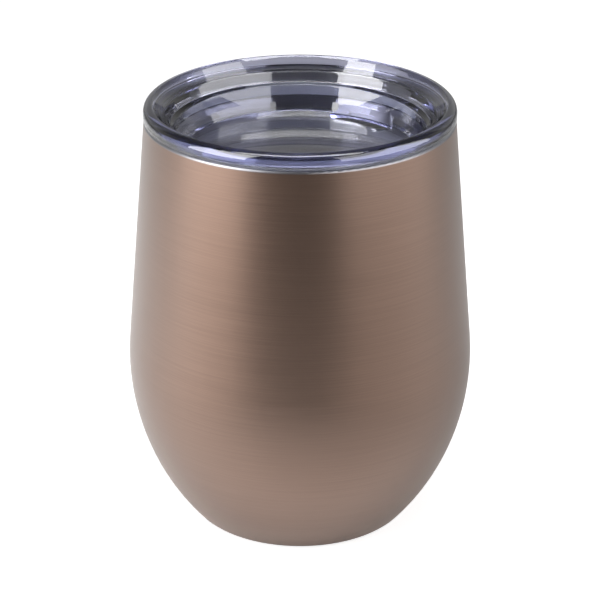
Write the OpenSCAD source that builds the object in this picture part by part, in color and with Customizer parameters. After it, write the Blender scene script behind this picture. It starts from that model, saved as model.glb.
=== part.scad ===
// Stemless insulated tumbler with a clear press-in lid.
// Millimetres. +Z is up, the origin is the centre of the foot on the table, and +Z is the turning axis.
// Two drawn steel walls hold a vacuum between them. The lid is a clear moulded plug with a wide flange
// that rests on the steel lip, a sip slot in its floor and a silicone ring that seals in the mouth.

/* [Cup] */
// Height of the steel cup, from the table to the lip
cup_height = 104; // [102:0.5:108]
// Largest outside radius, at the belly
belly_radius = 43; // [42.8:0.1:44]
// Height of the belly above the table
belly_height = 41.3; // [40:0.1:43]
// Radius of the long arc that the lower wall follows
wall_arc = 63.7; // [62:0.1:65]
// Angle at which the straight upper wall leans inwards, in degrees
lean = 5.1; // [4.8:0.1:5.2]
// Radius of the corner between the wall and the foot
foot_corner = 2; // [1.5:0.1:2.5]

/* [Walls] */
// Thickness of every drawn or pressed steel piece
steel = 0.6; // [0.5:0.05:0.7]
// Width of the vacuum space between the two walls
vacuum = 2.3; // [2.2:0.05:2.4]
// Height of the inside floor above the table
floor_height = 9; // [8.8:0.1:10]
// Radius of the corner around the inside floor
floor_corner = 7; // [5:0.5:8]
// Height of the weld between the inner wall and its bottom
floor_seam = 18; // [17.5:0.5:22]

/* [Mouth] */
// Radius of the straight part of the mouth that the lid seals in
mouth_radius = 34.1; // [34:0.05:34.1]
// Depth of that straight part below the lip
mouth_depth = 10; // [9.5:0.1:11]
// Radius of the two rounded edges of the lip
lip_round = 0.8; // [0.6:0.05:0.9]
// Radius of the weld on the lip, where the two walls meet
lip_seam = 35.8; // [35.6:0.05:36]

/* [Base] */
// Radius of the opening in the foot that the base cover closes
foot_opening = 25; // [24:0.1:25.5]
// Depth of the base cover's recess
cover_recess = 1.6; // [1.4:0.1:1.8]
// Height of the pressed step in the middle of the base cover
cover_step = 0.5; // [0.3:0.05:0.6]
// Height of the vacuum bottom above the table
vacuum_bottom_height = 4.4; // [4.2:0.1:4.6]
// Distance of the getter from the axis
getter_offset = 15; // [12:0.5:18]

/* [Lid] */
// Outside radius of the flange that rests on the lip
flange_radius = 37.8; // [37.7:0.05:38.2]
// Height of the flange above the lip
flange_height = 3.7; // [3.6:0.05:4]
// Radius of the flange's rounded outer top edge
flange_round = 2; // [1.8:0.05:2.05]
// Radius of the flange's inner top edge, where the well begins
rim_radius = 35.6; // [35.3:0.05:35.6]
// Radius of the small step in the well's wall
step_radius = 31.5; // [31.4:0.05:31.7]
// How far that step lies below the lip
step_drop = 2; // [1.8:0.05:2.2]
// Radius of the well's flat floor
well_radius = 28; // [27:0.1:28.2]
// How far the well's floor lies below the lip
well_drop = 8.5; // [8.3:0.1:8.6]
// Thickness of the lid's floor
lid_floor = 1.6; // [1.4:0.1:1.8]
// Radius of the plug that enters the mouth
plug_radius = 33.7; // [33.6:0.05:33.7]

/* [Sip slot] */
// Width of the slot, from its inner to its outer edge
slot_width = 6.2; // [6:0.1:7]
// Angle that the slot's centre line spans, in degrees
slot_span = 26; // [18:1:36]
// Direction of the middle of the slot, in degrees from +X towards +Y
slot_direction = 53; // [0:1:90]

/* [Seal] */
// Height of the seal ring
seal_height = 3; // [2.8:0.05:3.2]
// Radial clearance between the seal's lips and the mouth
seal_clearance = 0.08; // [0.05:0.01:0.1]

/* [Hidden] */
$fn = 128;
far = 60;                                        // reaches past every wall in a cutting shape

// The wall's outline: an arc below, and a straight line tangent to it above.
arc_x = belly_radius - wall_arc;
liner_inset = 2 * steel + vacuum;                // from the outside to the drink's side of the inner wall

// The steel pieces in the base
cover_rim_height = 0.2;
cover_step_radius = 16;
port_radius = 4;
port_height = 1.6;
port_hole = 0.75;
bottom_rim = 3;                                  // height of the vacuum bottom's upturned rim
weld_gap = 0.03;                                 // between two curved walls that are welded at their edge
bead_gap = 0.1;
bead_lift = 0.2;                                 // of the bead's underside above the vacuum bottom's
bead_radius = port_radius - bead_gap;
bead_dome = 14;
clip_steel = 0.3;
clip_height = 1.5;
clip_tab = [1.2, 1.6];
pellet_radius = 4;
pellet_height = 1.7;
deck = vacuum_bottom_height + steel;             // upper face of the vacuum bottom

// The copper foil around the inner wall
foil = 0.2;
foil_gap = 0.15;
foil_low = 20;
foil_high = 88;

// The mouth
land_low = cup_height - mouth_depth;
blend_height = 3.5;                              // of the slope from the lower wall to the straight mouth
blend_low = land_low - blend_height;

// The lid
flange_top = cup_height + flange_height;
step_z = cup_height - step_drop;
step_size = [1.1, 0.6];
flare = [1.2, 2.3];                              // from the step up to where the rim opens wider
well_z = cup_height - well_drop;
bevel_size = [1.3, 2.1];
slot_outer = well_radius + bevel_size[0] - 0.1;  // the slot's outer wall cuts through the bevel
slot_end = slot_width / 2 - 0.05;                // radius of its ends, just short of tangent to its sides
plug_bottom = well_z - lid_floor;
taper_size = [1.6, 3.4];                         // of the slope that leads the plug into the mouth
taper_top = plug_bottom + taper_size[1];
rim_edge = 0.5;

// The groove and its ring, with room for the ring to turn
groove_low = taper_top + 0.9;
groove_depth = 1.4;
groove_radius = plug_radius - groove_depth;
ring_gap = 0.06;
ring_radius = mouth_radius - seal_clearance;
ring_low = groove_low + ring_gap;
lip_count = 2;
lip_tip = 0.45;

// Radius of the wall at height z, inset from the cup's outside.
function join_z(inset) = belly_height + (wall_arc - inset) * sin(lean);
function wall_radius(z, inset) = z > join_z(inset)
    ? arc_x + (wall_arc - inset) / cos(lean) - (z - belly_height) * tan(lean)
    : arc_x + sqrt(pow(wall_arc - inset, 2) - pow(z - belly_height, 2));

// The half section inside the wall between two heights, filled from the axis: what lies inside the
// straight upper wall, carried down, less what lies outside the arc.
module wall_area(inset, low, high) {
    joint = join_z(inset);
    function line_radius(z) = wall_radius(joint, inset) + (joint - z) * tan(lean);
    difference() {
        polygon([[0, low], [line_radius(low), low], [line_radius(high), high], [0, high]]);
        difference() {
            translate([0, low - 1]) square([far, joint - low + 1]);
            translate([arc_x, belly_height]) circle(wall_arc - inset);
        }
    }
}

// The same with a flat bottom at height base, and a rounded corner tangent to the wall's arc.
module cup_area(inset, base, corner, high) {
    reach = wall_arc - inset;
    corner_z = base + corner;
    corner_r = arc_x + sqrt(pow(reach - corner, 2) - pow(belly_height - corner_z, 2));
    touch_z = belly_height + reach * (corner_z - belly_height) / (reach - corner);
    difference() {
        wall_area(inset, base, high);
        difference() {
            translate([corner_r, base - 1]) square([far, touch_z - base + 1]);
            translate([corner_r, corner_z]) circle(corner);
        }
    }
}

// The drink's side of the inner wall, grown outwards, with the straight mouth above.
module drink_area(grow) {
    inset = liner_inset - grow;
    difference() {
        cup_area(inset, floor_height - grow, floor_corner + grow, cup_height);
        polygon([[wall_radius(blend_low, inset), blend_low], [mouth_radius + grow, land_low],
                 [mouth_radius + grow, cup_height + 1], [far, cup_height + 1], [far, blend_low]]);
    }
}

// What a rounded edge leaves over: the corner between two walls and their inside circle.
module edge_waste(radius) {
    difference() {
        square(radius);
        circle(radius);
    }
}

// Outer wall: one drawn sleeve from the foot's turned-in edge to the lip's weld.
module outer_shell() {
    round_r = wall_radius(cup_height, 0) - lip_round * (1 / cos(lean) - tan(lean));
    color([0.66, 0.47, 0.39])
    rotate_extrude() difference() {
        cup_area(0, 0, foot_corner, cup_height);
        cup_area(steel, steel, foot_corner - steel, cup_height - steel);
        translate([0, -steel]) square([foot_opening, 3 * steel]);
        translate([0, cup_height - 2 * steel]) square([lip_seam, 3 * steel]);
        translate([round_r, cup_height - lip_round]) difference() {
            translate([0, lip_round * sin(lean)]) square(far);
            circle(lip_round);
        }
    }
}

// Base cover: a pressed disc with a turned-down rim and a low step in its middle.
module outer_bottom() {
    top = cover_recess + steel;
    slope = 1.5;
    color([0.62, 0.62, 0.64])
    rotate_extrude() {
        difference() {
            translate([0, cover_rim_height]) square([foot_opening, top - cover_rim_height]);
            translate([0, -1]) square([foot_opening - steel, cover_recess + 1]);
            translate([foot_opening - lip_round, top - lip_round]) edge_waste(lip_round);
            translate([0, cover_recess]) square([cover_step_radius, far]);
        }
        polygon([[0, cover_recess + cover_step], [cover_step_radius - slope, cover_recess + cover_step],
                 [cover_step_radius, cover_recess], [cover_step_radius, top],
                 [cover_step_radius - slope, top + cover_step], [0, top + cover_step]]);
    }
}

// Vacuum bottom: closes the vacuum space, with a raised port in its middle and an upturned rim.
module middle_bottom() {
    outside = steel + weld_gap;
    rim_top = deck + bottom_rim;
    port_top = deck + port_height;
    color([0.6, 0.6, 0.62])
    rotate_extrude() difference() {
        wall_area(outside, vacuum_bottom_height, rim_top);
        difference() {
            wall_area(outside + steel, deck, rim_top + 1);
            square([port_radius + steel, port_top]);
        }
        square([port_radius, port_top - steel]);
        square([port_hole, far]);
    }
}

// Solder-glass bead that seals the evacuation port from below.
module port_seal() {
    low = vacuum_bottom_height + bead_lift;
    high = vacuum_bottom_height + port_height;
    color([0.35, 0.4, 0.32])
    rotate_extrude() intersection() {
        translate([0, low]) square([bead_radius, high - low]);
        translate([0, low + bead_dome]) circle(bead_dome);
    }
}

// Getter clip: a shallow cup welded to the vacuum bottom, with three tabs that hold the pellet.
module getter_clip() {
    color([0.7, 0.7, 0.72])
    translate([getter_offset, 0, deck]) {
        difference() {
            cylinder(r = pellet_radius + 2 * clip_steel, h = clip_height);
            translate([0, 0, clip_steel]) cylinder(r = pellet_radius + clip_steel, h = clip_height);
        }
        for (turn = [0:120:240])
            rotate(turn)
                translate([pellet_radius + clip_steel, -clip_tab[0] / 2, 0])
                    cube([clip_steel, clip_tab[0], clip_height + clip_tab[1] / 2]);
    }
}

// Getter: a sintered pellet that keeps the vacuum clean.
module getter_pellet() {
    color([0.3, 0.3, 0.32])
    translate([getter_offset, 0, deck + clip_steel]) cylinder(r = pellet_radius, h = pellet_height);
}

// Copper foil wrapped around the inner wall, inside the vacuum.
module foil_wrap() {
    inner_inset = vacuum + steel - foil_gap;
    color([0.8, 0.5, 0.35])
    rotate_extrude() difference() {
        wall_area(inner_inset - foil, foil_low, foil_high);
        wall_area(inner_inset, foil_low - 1, foil_high + 1);
    }
}

// Inner wall: a drawn sleeve with the straight mouth and the inner half of the lip.
module inner_liner() {
    color([0.74, 0.74, 0.76])
    rotate_extrude() difference() {
        union() {
            drink_area(steel);
            translate([0, cup_height - steel]) square([lip_seam, steel]);
        }
        drink_area(0);
        translate([-far / 2, -1]) square([2 * far, floor_seam + 1]);
        translate([mouth_radius + lip_round, cup_height - lip_round]) mirror([1, 0]) edge_waste(lip_round);
    }
}

// Bottom of the inner wall: a deep pressed dish with a wide round corner.
module inner_bottom() {
    color([0.72, 0.72, 0.74])
    rotate_extrude() difference() {
        drink_area(steel);
        drink_area(0);
        translate([0, floor_seam]) square([far, 2 * cup_height]);
    }
}

// The space inside the lid: a rim that opens in two slopes, a small step, a lower wall and a bevel to the floor.
module well_area() {
    polygon([[0, well_z], [well_radius, well_z], [well_radius, well_z] + bevel_size,
             [step_radius, step_z] - step_size, [step_radius, step_z],
             [step_radius, step_z] + flare, [rim_radius - rim_edge, flange_top - rim_edge],
             [rim_radius, flange_top], [rim_radius, flange_top + 1], [0, flange_top + 1]]);
}

// The sip slot as a flat shape: a curved band with two round ends.
module slot_shape() {
    centre = slot_outer - slot_width / 2;
    half = slot_span / 2;
    difference() {
        intersection() {
            circle(slot_outer);
            polygon([[0, 0], far * [cos(half), -sin(half)], far * [cos(half), sin(half)]]);
        }
        circle(slot_outer - slot_width);
    }
    for (side = [-1, 1])
        rotate(side * half) translate([centre, 0]) circle(slot_end);
}

// Lid: one clear moulding with the flange, the plug, the seal's groove, the well and the slot.
module lid_body() {
    color([0.72, 0.72, 0.86, 0.4])
    difference() {
        rotate_extrude() difference() {
            union() {
                translate([0, cup_height]) square([flange_radius, flange_height]);
                polygon([[0, plug_bottom], [plug_radius - taper_size[0], plug_bottom],
                         [plug_radius, taper_top], [plug_radius, cup_height], [0, cup_height]]);
            }
            well_area();
            translate([flange_radius - flange_round, flange_top - flange_round]) edge_waste(flange_round);
            translate([groove_radius, groove_low]) square([far, seal_height + 2 * ring_gap]);
        }
        rotate(slot_direction)
            translate([0, 0, plug_bottom - 1]) linear_extrude(1 + lid_floor + bevel_size[1]) slot_shape();
    }
}

// Seal: a silicone ring with two round lips.
module lid_gasket() {
    pitch = seal_height / lip_count;
    color([0.85, 0.85, 0.88, 0.8])
    rotate_extrude() {
        translate([groove_radius + ring_gap, ring_low])
            square([ring_radius - 2 * lip_tip - groove_radius - ring_gap, seal_height]);
        for (i = [0:lip_count - 1])
            translate([ring_radius - 2 * lip_tip, ring_low + pitch * (i + 0.5) - lip_tip]) {
                square([lip_tip, 2 * lip_tip]);
                translate([lip_tip, lip_tip]) circle(lip_tip);
            }
    }
}

outer_shell();
outer_bottom();
middle_bottom();
port_seal();
getter_clip();
getter_pellet();
foil_wrap();
inner_liner();
inner_bottom();
lid_body();
lid_gasket();
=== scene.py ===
import math

import bmesh
import bpy
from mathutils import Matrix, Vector

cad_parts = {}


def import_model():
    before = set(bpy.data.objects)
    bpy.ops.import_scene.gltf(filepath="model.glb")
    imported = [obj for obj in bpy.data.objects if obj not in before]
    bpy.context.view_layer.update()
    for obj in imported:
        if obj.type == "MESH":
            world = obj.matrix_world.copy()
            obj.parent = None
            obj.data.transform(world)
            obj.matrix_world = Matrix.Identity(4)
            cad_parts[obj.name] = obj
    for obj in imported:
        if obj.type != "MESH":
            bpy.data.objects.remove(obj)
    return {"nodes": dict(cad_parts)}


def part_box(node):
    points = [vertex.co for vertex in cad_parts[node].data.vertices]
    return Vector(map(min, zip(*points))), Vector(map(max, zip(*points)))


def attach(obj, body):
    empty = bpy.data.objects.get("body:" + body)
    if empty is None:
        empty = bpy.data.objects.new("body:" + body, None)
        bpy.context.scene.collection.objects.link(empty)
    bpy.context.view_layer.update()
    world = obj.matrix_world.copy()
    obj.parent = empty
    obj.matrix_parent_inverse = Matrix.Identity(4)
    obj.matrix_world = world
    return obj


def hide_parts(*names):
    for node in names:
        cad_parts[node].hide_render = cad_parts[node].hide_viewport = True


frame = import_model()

# The insulated tumbler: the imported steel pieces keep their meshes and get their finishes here. The clear lid
# and its seal ring are built again as finer mouldings with every edge rounded, inside the same outlines.
# Outlines are in millimetres, as (radius, height), and MM turns them into metres.

MM = 0.001
TURN = 2 * math.pi
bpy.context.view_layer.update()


def in_mm(node):
    """Lowest height, highest height and largest radius of a CAD node, in millimetres."""
    low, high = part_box(node)
    return low.z / MM, high.z / MM, high.x / MM


# ---------------------------------------------------------------- driving sizes, in millimetres

LIP_Z = in_mm("outer_shell")[1]
LACQUER_END_SHADE_START = LIP_Z - 0.9     # the lacquer fades out from here into a bare lip painted darker as shade under the flange
BARE_SHADED_LIP = LIP_Z - 0.5        # to here

PLUG_BOTTOM, FLANGE_TOP, FLANGE_RADIUS = in_mm("lid_body")
PLUG_RADIUS = 33.7
PLUG_TAPER = 1.6              # how much narrower the plug is at its bottom
PLUG_TAPER_HEIGHT = 3.4
FLANGE_ROUND = 2.0
RIM_RADIUS = 35.6             # inner edge of the flange's top
RIM_EDGE = 0.5                # bevel at that edge

SEAL_LOW, SEAL_HIGH, SEAL_RADIUS = in_mm("lid_gasket")
GROOVE_RADIUS = 32.3
GROOVE_GAP = 0.06             # between the seal ring and its groove
SEAL_TIP = 0.45               # half the thickness of each of the ring's lips

STEP_Z = LIP_Z - 2.0
STEP_RADIUS = 31.5            # outer edge of the step in the well's wall
STEP_WIDTH = 1.1
STEP_FALL = 0.6
CURVE_WIDTH = 1.2             # the curved wall above the step
CURVE_HEIGHT = 2.3

LID_FLOOR = 1.6
WELL_Z = PLUG_BOTTOM + LID_FLOOR
WELL_RADIUS = 28.0
BEVEL_WIDTH = 1.3             # the bevel round the well's floor
BEVEL_HEIGHT = 2.1

SLOT_WIDTH = 6.2
SLOT_OUTER = WELL_RADIUS + 1.2
SLOT_HALF = math.radians(13)
SLOT_DIRECTION = math.radians(53)
SLOT_EDGE = 0.22              # bevel at the slot's edges
SLIVER = 0.001                # edges shorter than this are dissolved

LID_SIDES = 288
SEAL_SIDES = 192


# ---------------------------------------------------------------- outlines and meshes

def turned(x, y, angle):
    """A point turned round the origin."""
    return x * math.cos(angle) - y * math.sin(angle), x * math.sin(angle) + y * math.cos(angle)


def filleted(corners, step=math.radians(9)):
    """A chain of (radius, height, fillet) corners, with an arc of that fillet at each one that has it."""
    points = []
    for i, (r, z, fillet) in enumerate(corners):
        here = Vector((r, z))
        if not fillet:
            points.append((r, z))
            continue
        back = (Vector(corners[i - 1][:2]) - here).normalized()
        on = (Vector(corners[(i + 1) % len(corners)][:2]) - here).normalized()
        half = back.angle(on) / 2
        reach = fillet / math.tan(half)
        centre = here + (back + on).normalized() * (fillet / math.sin(half))
        start, end = here + back * reach - centre, here + on * reach - centre
        sweep = start.angle_signed(end)
        count = max(2, math.ceil(abs(sweep) / step))
        for k in range(count + 1):
            x, y = turned(start.x, start.y, -sweep * k / count)
            points.append((centre.x + x, centre.y + y))
    return points


def ring(bm, r, z, count):
    """A closed ring of vertices round the axis."""
    return [bm.verts.new((r * math.cos(TURN * k / count) * MM, r * math.sin(TURN * k / count) * MM, z * MM))
            for k in range(count)]


def bridge(bm, first, second):
    """Quads between two rings of as many vertices."""
    count = len(first)
    for k in range(count):
        bm.faces.new((first[k], first[(k + 1) % count], second[(k + 1) % count], second[k]))


def add_object(bm, name):
    """The finished mesh as an object, with its faces turned outwards and shaded smooth."""
    bmesh.ops.recalc_face_normals(bm, faces=bm.faces)
    mesh = bpy.data.meshes.new(name)
    bm.to_mesh(mesh)
    bm.free()
    mesh.polygons.foreach_set("use_smooth", [True] * len(mesh.polygons))
    piece = bpy.data.objects.new(name, mesh)
    bpy.context.scene.collection.objects.link(piece)
    return piece


def even_normals(piece):
    """Normals weighted by face area, so that the large faces look flat and only the fillets look round."""
    even = piece.modifiers.new("even_normals", "WEIGHTED_NORMAL")
    even.keep_sharp = True


def slot_loop(bm, z):
    """The sip slot's outline at height z: a curved band with two round ends."""
    middle = SLOT_OUTER - SLOT_WIDTH / 2
    reach = SLOT_WIDTH / 2
    arc_steps, end_steps = 20, 16
    points = []
    for side in (1, -1):
        for k in range(arc_steps):
            points.append(turned(middle + side * reach, 0, side * SLOT_HALF * (2 * k / arc_steps - 1)))
        for k in range(end_steps):
            x, y = turned(reach, 0, math.pi * k / end_steps + (0 if side > 0 else math.pi))
            points.append(turned(middle + x, y, SLOT_HALF * side))
    placed = [turned(x, y, SLOT_DIRECTION) for x, y in points]
    return [bm.verts.new((x * MM, y * MM, z * MM)) for x, y in placed]


def slot_cutter():
    """A solid in the slot's outline, from below the plug to the top of the bevel."""
    bm = bmesh.new()
    low, high = slot_loop(bm, PLUG_BOTTOM - 1), slot_loop(bm, WELL_Z + BEVEL_HEIGHT)
    bridge(bm, low, high)
    bm.faces.new(low)
    bm.faces.new(high)
    return add_object(bm, "slot_cutter")


def without_slivers(mesh):
    """The same mesh with its shortest edges dissolved."""
    bm = bmesh.new()
    bm.from_mesh(mesh)
    bmesh.ops.dissolve_degenerate(bm, dist=SLIVER * MM, edges=bm.edges)
    bm.to_mesh(mesh)
    bm.free()
    return mesh


def cut_slot(piece):
    """The sip slot cut through the floor and the bevel, and its edges rounded."""
    cutter = slot_cutter()
    cut = piece.modifiers.new("slot", "BOOLEAN")
    cut.operation = "DIFFERENCE"
    cut.solver = "EXACT"
    cut.object = cutter
    edge = piece.modifiers.new("slot_edges", "BEVEL")
    edge.limit_method = "ANGLE"
    edge.angle_limit = math.radians(40)
    edge.width = SLOT_EDGE * MM
    edge.segments = 3
    bpy.context.view_layer.update()
    done = piece.evaluated_get(bpy.context.evaluated_depsgraph_get())
    piece.data = without_slivers(bpy.data.meshes.new_from_object(done))
    piece.modifiers.clear()
    bpy.data.objects.remove(cutter)


def lid_moulding():
    """The clear lid: plug, groove, flange, stepped well and floor in one moulding, with the sip slot."""
    walls = filleted([
        (0, PLUG_BOTTOM, 0),
        (PLUG_RADIUS - PLUG_TAPER, PLUG_BOTTOM, 0.6),
        (PLUG_RADIUS, PLUG_BOTTOM + PLUG_TAPER_HEIGHT, 0.8),
        (PLUG_RADIUS, SEAL_LOW - GROOVE_GAP, 0.12),
        (GROOVE_RADIUS, SEAL_LOW - GROOVE_GAP, 0.15),
        (GROOVE_RADIUS, SEAL_HIGH + GROOVE_GAP, 0.15),
        (PLUG_RADIUS, SEAL_HIGH + GROOVE_GAP, 0.12),
        (PLUG_RADIUS, LIP_Z, 0.3),
        (FLANGE_RADIUS, LIP_Z, 0.35),
        (FLANGE_RADIUS, FLANGE_TOP, FLANGE_ROUND),
        (RIM_RADIUS, FLANGE_TOP, 0.15),
        (RIM_RADIUS - RIM_EDGE, FLANGE_TOP - RIM_EDGE, 0.6),
        (STEP_RADIUS + CURVE_WIDTH, STEP_Z + CURVE_HEIGHT, 4.0),
        (STEP_RADIUS, STEP_Z, 0.8),
        (STEP_RADIUS - STEP_WIDTH, STEP_Z - STEP_FALL, 0.8),
        (WELL_RADIUS + BEVEL_WIDTH, WELL_Z + BEVEL_HEIGHT, 0.6),
        (WELL_RADIUS, WELL_Z, 0.15),
        (0, WELL_Z, 0),
    ])[1:-1]
    bm = bmesh.new()
    rings = [ring(bm, r, z, LID_SIDES) for r, z in walls]
    for first, second in zip(rings, rings[1:]):
        bridge(bm, first, second)
    bm.faces.new(rings[0])
    bm.faces.new(rings[-1])
    piece = add_object(bm, "lid_moulding")
    cut_slot(piece)
    even_normals(piece)
    return piece


def seal_ring():
    """The silicone ring: a flat band with two round lips."""
    inner = GROOVE_RADIUS + GROOVE_GAP
    root = SEAL_RADIUS - 2 * SEAL_TIP
    pitch = (SEAL_HIGH - SEAL_LOW) / 2
    outline = [(inner, SEAL_LOW, 0.2), (root, SEAL_LOW, 0.1)]
    for centre in (SEAL_LOW + pitch / 2, SEAL_HIGH - pitch / 2):
        low, high = centre - SEAL_TIP, centre + SEAL_TIP
        outline += [(root, low, 0.1), (SEAL_RADIUS, low, SEAL_TIP * 0.95),
                    (SEAL_RADIUS, high, SEAL_TIP * 0.95), (root, high, 0.1)]
    outline += [(root, SEAL_HIGH, 0.1), (inner, SEAL_HIGH, 0.2)]
    bm = bmesh.new()
    rings = [ring(bm, r, z, SEAL_SIDES) for r, z in filleted(outline)]
    for first, second in zip(rings, rings[1:] + rings[:1]):
        bridge(bm, first, second)
    piece = add_object(bm, "seal_ring")
    even_normals(piece)
    return piece


# ---------------------------------------------------------------- node helpers

def feed(tree, socket, value):
    """Gives a socket its value: another node's output, a number or a colour."""
    if isinstance(value, bpy.types.NodeSocket):
        tree.links.new(value, socket)
    elif isinstance(value, tuple):
        socket.default_value = (*value, 1)
    else:
        socket.default_value = value


def arithmetic(tree, operation, first, second=0.5):
    """One Math node on two sockets or numbers. ABSOLUTE takes only the first."""
    node = tree.nodes.new("ShaderNodeMath")
    node.operation = operation
    feed(tree, node.inputs[0], first)
    feed(tree, node.inputs[1], second)
    return node.outputs[0]


def ranged(tree, value, low, high, from_low=0.3, from_high=0.7):
    """A value spread from low to high. By default the value is noise, which mostly lies from 0.3 to 0.7."""
    node = tree.nodes.new("ShaderNodeMapRange")
    node.inputs["From Min"].default_value = from_low
    node.inputs["From Max"].default_value = from_high
    node.inputs["To Min"].default_value = low
    node.inputs["To Max"].default_value = high
    tree.links.new(value, node.inputs["Value"])
    return node.outputs["Result"]


def blended(tree, factor, first, second, kind="RGBA"):
    """Two colours mixed by a factor, or with kind FLOAT two numbers. Each is a socket or a plain value."""
    node = tree.nodes.new("ShaderNodeMix")
    node.data_type = kind
    feed(tree, node.inputs["Factor"], factor)
    feed(tree, node.inputs["A"], first)
    feed(tree, node.inputs["B"], second)
    return node.outputs["Result"]


def noise(tree, scale, detail, stretch=(1, 1, 1)):
    """Noise in the piece's own coordinates, stretched along each axis."""
    place = tree.nodes.new("ShaderNodeTexCoord")
    mapping = tree.nodes.new("ShaderNodeMapping")
    mapping.inputs["Scale"].default_value = stretch
    texture = tree.nodes.new("ShaderNodeTexNoise")
    texture.inputs["Scale"].default_value = scale
    texture.inputs["Detail"].default_value = detail
    tree.links.new(place.outputs["Object"], mapping.inputs["Vector"])
    tree.links.new(mapping.outputs["Vector"], texture.inputs["Vector"])
    return texture.outputs["Fac"]


def axes(tree, coordinates="Object"):
    """The X, Y and Z of those texture coordinates, as sockets by name."""
    place = tree.nodes.new("ShaderNodeTexCoord")
    parts = tree.nodes.new("ShaderNodeSeparateXYZ")
    tree.links.new(place.outputs[coordinates], parts.inputs[0])
    return parts.outputs


def bumped(tree, shader, height, strength, distance):
    """A bump of that height into the shader's normal."""
    node = tree.nodes.new("ShaderNodeBump")
    node.inputs["Strength"].default_value = strength
    node.inputs["Distance"].default_value = distance
    tree.links.new(height, node.inputs["Height"])
    tree.links.new(node.outputs["Normal"], shader.inputs["Normal"])


def brushed_round(tree, shader):
    """Brushing that runs round the axis."""
    node = tree.nodes.new("ShaderNodeTangent")
    node.direction_type = "RADIAL"
    node.axis = "Z"
    tree.links.new(node.outputs["Tangent"], shader.inputs["Tangent"])


# ---------------------------------------------------------------- materials

def material(name, **values):
    """A new material, its tree and its Principled shader, with those values set on the shader's sockets."""
    made = bpy.data.materials.new(name)
    made.use_nodes = True
    shader = made.node_tree.nodes["Principled BSDF"]
    for socket, value in values.items():
        shader.inputs[socket.replace("_", " ")].default_value = value
    return made, made.node_tree, shader


def copper_lacquer():
    """Translucent copper lacquer over steel brushed round the cup. The lip is bare steel, painted a darker
    grey than bare steel as shade under the lid's flange.
    """
    made, tree, shader = material("copper_lacquer_brushed", Metallic=1.0,
                                  Anisotropic=0.3, Anisotropic_Rotation=0.25,
                                  Coat_Weight=1.0, Coat_Roughness=0.34, Coat_IOR=1.75)
    streaks = noise(tree, scale=45.0, detail=4.0, stretch=(1, 1, 130))
    clouds = noise(tree, scale=22.0, detail=2.0)
    lacquer = blended(tree, ranged(tree, streaks, 0, 1), (0.224, 0.128, 0.086), (0.266, 0.158, 0.109))
    # Painted shade: the lip turns to bare steel in a darker grey than the other bare steel, as shade under the
    # lid's flange.
    bare_shaded_lip_mask = ranged(tree, axes(tree)["Z"], 0, 1, from_low=LACQUER_END_SHADE_START * MM, from_high=BARE_SHADED_LIP * MM)
    tree.links.new(blended(tree, bare_shaded_lip_mask, lacquer, (0.30, 0.30, 0.33)), shader.inputs["Base Color"])
    roughness = arithmetic(tree, "ADD", ranged(tree, streaks, 0.37, 0.43), ranged(tree, clouds, -0.02, 0.02))
    tree.links.new(roughness, shader.inputs["Roughness"])
    bumped(tree, shader, streaks, strength=0.05, distance=0.00004)
    brushed_round(tree, shader)
    return made


def satin_steel():
    """Bare stainless steel with faint turning marks."""
    made, tree, shader = material("satin_steel_turned", Metallic=1.0,
                                  Anisotropic=1.0, Anisotropic_Rotation=0.25)
    streaks = noise(tree, scale=25.0, detail=3.0, stretch=(1, 1, 200))
    colour = blended(tree, ranged(tree, streaks, 0, 1), (0.46, 0.455, 0.44), (0.54, 0.535, 0.52))
    tree.links.new(colour, shader.inputs["Base Color"])
    tree.links.new(ranged(tree, streaks, 0.38, 0.44), shader.inputs["Roughness"])
    bumped(tree, shader, streaks, strength=0.05, distance=0.00004)
    brushed_round(tree, shader)
    return made


def clear_plastic():
    """Clear moulded plastic with a slight blue-violet tint in its depth."""
    made, tree, shader = material("clear_plastic_violet", Transmission_Weight=1.0, IOR=1.56,
                                  Coat_Weight=0.6, Coat_Roughness=0.02, Coat_IOR=1.8)
    shader.inputs["Base Color"].default_value = (0.97, 0.97, 1.0, 1)
    haze = noise(tree, scale=60.0, detail=2.0)
    tree.links.new(ranged(tree, haze, 0.01, 0.03), shader.inputs["Roughness"])
    depth = tree.nodes.new("ShaderNodeVolumeAbsorption")
    depth.inputs["Color"].default_value = (0.52, 0.55, 0.90, 1)
    depth.inputs["Density"].default_value = 100.0
    tree.links.new(depth.outputs["Volume"], tree.nodes["Material Output"].inputs["Volume"])
    return made


def silicone():
    """Milky translucent silicone."""
    made, tree, shader = material("silicone_milky", IOR=1.41, Transmission_Weight=0.15)
    patches = noise(tree, scale=300.0, detail=2.0)
    colour = blended(tree, ranged(tree, patches, 0, 1), (0.80, 0.83, 0.90), (0.85, 0.88, 0.95))
    tree.links.new(colour, shader.inputs["Base Color"])
    tree.links.new(ranged(tree, patches, 0.35, 0.5), shader.inputs["Roughness"])
    return made


def plain_finish(name, first, second, roughness, metallic=1.0):
    """A finish for the pieces inside: two mixed colours and an uneven roughness."""
    made, tree, shader = material(name, Metallic=metallic)
    patches = noise(tree, scale=400.0, detail=3.0)
    tree.links.new(blended(tree, ranged(tree, patches, 0, 1), first, second), shader.inputs["Base Color"])
    tree.links.new(ranged(tree, patches, *roughness), shader.inputs["Roughness"])
    bumped(tree, shader, patches, strength=0.1, distance=0.00005)
    return made


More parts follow.
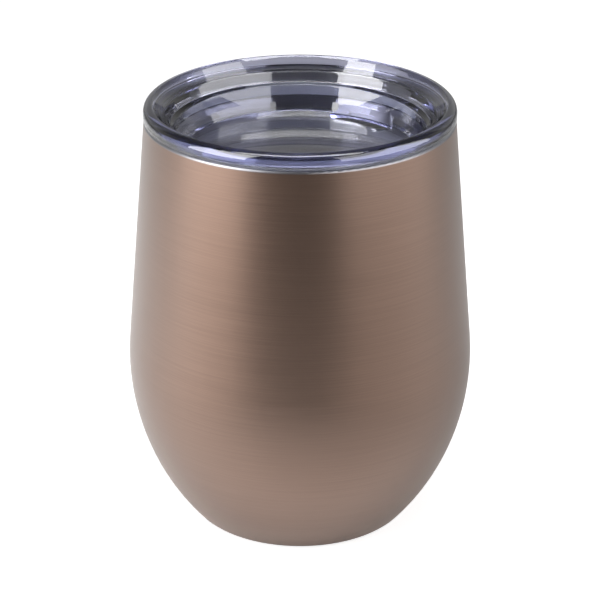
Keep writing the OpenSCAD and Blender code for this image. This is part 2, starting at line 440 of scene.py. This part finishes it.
FINISHES = {
    "copper_lacquer": copper_lacquer(),
    "satin_steel": satin_steel(),
    "plain_steel": plain_finish("plain_steel_pressed", (0.5, 0.5, 0.52), (0.6, 0.6, 0.62), (0.3, 0.45)),
    "solder_glass": plain_finish("solder_glass_bead", (0.07, 0.09, 0.06), (0.11, 0.13, 0.09), (0.15, 0.3),
                                 metallic=0.0),
    "getter_alloy": plain_finish("getter_alloy_sintered", (0.07, 0.07, 0.08), (0.13, 0.13, 0.14), (0.6, 0.8)),
    "copper_foil": plain_finish("copper_foil_thin", (0.75, 0.38, 0.22), (0.85, 0.45, 0.28), (0.2, 0.35)),
    "clear_plastic": clear_plastic(),
    "silicone": silicone(),
}


# ---------------------------------------------------------------- pieces

def finish_nodes():
    """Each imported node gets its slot's finish."""
    for node in frame["nodes"].values():
        for slot in node.material_slots:
            slot.material = FINISHES[slot.material.name.split(".")[0]]


def add_piece(piece, body, node, finish):
    """The piece rides on a body and stands in for a CAD node."""
    piece.data.materials.append(FINISHES[finish])
    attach(piece, body)
    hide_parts(node)


finish_nodes()
add_piece(lid_moulding(), "lid", "lid_body", "clear_plastic")
add_piece(seal_ring(), "seal", "lid_gasket", "silicone")


# ---------------------------------------------------------------- stage, lights and camera, in metres

FLOOR_HALF = 3.0
FLOOR_DROP = 0.00002          # keeps the floor clear of the foot
CAMERA_ELEVATION = math.radians(24.54)
CAMERA_DISTANCE = 0.520       # from the cup's middle
CAMERA_AIM = Vector((0, 0, 0.05507))
CAMERA_LENS = 124.4           # the lens and its sensor are in millimetres
CAMERA_SENSOR = 36


def seen_by_camera(tree):
    """1 for what the camera sees with nothing in between, and 0 for what clear or shiny pieces show of it."""
    return tree.nodes.new("ShaderNodeLightPath").outputs["Is Camera Ray"]


def seen_through(tree):
    """1 for what a clear piece shows of things behind it."""
    return tree.nodes.new("ShaderNodeLightPath").outputs["Is Transmission Ray"]


def pale_floor():
    """Near white to the camera. Reflections meet a floor with painted light and shade in its colour: lighter
    near the cup and on the left, darker towards the camera and, less so, to the right. Clear pieces show an
    evenly grey one."""
    made = bpy.data.materials.new("pale_floor")
    made.use_nodes = True
    tree = made.node_tree
    tree.nodes.remove(tree.nodes["Principled BSDF"])
    diffuse = tree.nodes.new("ShaderNodeBsdfDiffuse")
    diffuse.inputs["Color"].default_value = (0.5, 0.5, 0.5, 1)
    glow = tree.nodes.new("ShaderNodeEmission")
    glow.inputs["Strength"].default_value = 0.75
    both = tree.nodes.new("ShaderNodeAddShader")
    tree.links.new(diffuse.outputs[0], both.inputs[0])
    tree.links.new(glow.outputs[0], both.inputs[1])
    place = axes(tree)
    # Painted light and shade for reflections: the floor's colour is lighter on the left and near the cup, and
    # darker to the right and towards the camera.
    side = ranged(tree, place["X"], 0, 1, from_low=-0.06, from_high=0.10)
    front = ranged(tree, place["Y"], 1, 0, from_low=-0.22, from_high=-0.04)
    painted_light_by_side = blended(tree, side, (0.95, 0.95, 0.95), (0.55, 0.55, 0.55))
    shade = blended(tree, front, painted_light_by_side, (0.14, 0.14, 0.14))
    reflected = tree.nodes.new("ShaderNodeBsdfDiffuse")
    tree.links.new(blended(tree, seen_through(tree), shade, (0.38, 0.38, 0.41)), reflected.inputs["Color"])
    seen = tree.nodes.new("ShaderNodeMixShader")
    tree.links.new(seen_by_camera(tree), seen.inputs["Fac"])
    tree.links.new(reflected.outputs[0], seen.inputs[1])
    tree.links.new(both.outputs[0], seen.inputs[2])
    tree.links.new(seen.outputs[0], tree.nodes["Material Output"].inputs["Surface"])
    return made


def floor():
    """A plain pale floor."""
    bm = bmesh.new()
    bmesh.ops.create_grid(bm, x_segments=8, y_segments=8, size=FLOOR_HALF)
    mesh = bpy.data.meshes.new("floor")
    bm.to_mesh(mesh)
    bm.free()
    plane = bpy.data.objects.new("floor", mesh)
    plane.location.z = -FLOOR_DROP
    bpy.context.scene.collection.objects.link(plane)
    mesh.materials.append(pale_floor())


def softbox(name, azimuth, distance, rise, tilt, width, height, radiance):
    """A soft light at that azimuth from the camera's side, and that far above the lip. Tilt is how far it
    looks down: 0 stands upright and 90 hangs flat."""
    a, t = math.radians(azimuth), math.radians(tilt)
    data = bpy.data.lights.new(name, "AREA")
    data.shape = "RECTANGLE"
    data.size = width
    data.size_y = height
    data.energy = radiance * math.pi * width * height
    light = bpy.data.objects.new(name, data)
    light.location = (distance * math.sin(a), -distance * math.cos(a), LIP_Z * MM + rise)
    away = Vector((math.sin(a) * math.cos(t), -math.cos(a) * math.cos(t), math.sin(t)))
    light.rotation_mode = "QUATERNION"
    light.rotation_quaternion = away.to_track_quat("Z", "Y")
    light.visible_camera = False
    bpy.context.scene.collection.objects.link(light)


def world():
    """White to the camera. Reflections meet a room that is dark behind the camera, lighter behind the cup and
    darker overhead. Clear pieces show one that is lighter at both sides."""
    made = bpy.data.worlds.new("studio")
    bpy.context.scene.world = made
    made.use_nodes = True
    tree = made.node_tree
    back = tree.nodes["Background"]
    towards = axes(tree, "Generated")
    aside = arithmetic(tree, "ABSOLUTE", towards["X"])
    behind = ranged(tree, towards["Y"], 0.04, 0.42, from_low=-0.15, from_high=0.15)
    above = ranged(tree, towards["Z"], 1.0, 0.3, from_low=0.2, from_high=0.6)
    beside = ranged(tree, aside, 0.05, 0.6, from_low=0.5, from_high=1.3)
    room = arithmetic(tree, "MULTIPLY", behind, above)
    strength = blended(tree, seen_through(tree), room, beside, "FLOAT")
    tree.links.new(arithmetic(tree, "MAXIMUM", strength, seen_by_camera(tree)), back.inputs["Strength"])
    back.inputs["Color"].default_value = (1, 1, 1, 1)


def camera():
    """The camera, in front of the cup and looking down at it."""
    back = Vector((0, -math.cos(CAMERA_ELEVATION), math.sin(CAMERA_ELEVATION)))
    data = bpy.data.cameras.new("camera")
    data.lens = CAMERA_LENS
    data.sensor_width = CAMERA_SENSOR
    data.clip_start = 0.01
    eye = bpy.data.objects.new("camera", data)
    eye.location = CAMERA_AIM + back * CAMERA_DISTANCE
    eye.rotation_mode = "QUATERNION"
    eye.rotation_quaternion = back.to_track_quat("Z", "Y")
    bpy.context.scene.collection.objects.link(eye)
    bpy.context.scene.camera = eye


floor()
world()
softbox("left_softbox", azimuth=-60, distance=0.60, rise=0.43, tilt=0, width=0.50, height=0.98, radiance=5.1)
softbox("right_softbox", azimuth=65, distance=0.60, rise=0.38, tilt=0, width=0.90, height=0.90, radiance=2.3)
softbox("top_softbox", azimuth=0, distance=0.07, rise=0.80, tilt=85, width=0.80, height=0.26, radiance=5.0)
camera()
bpy.context.scene.view_settings.view_transform = "Standard"
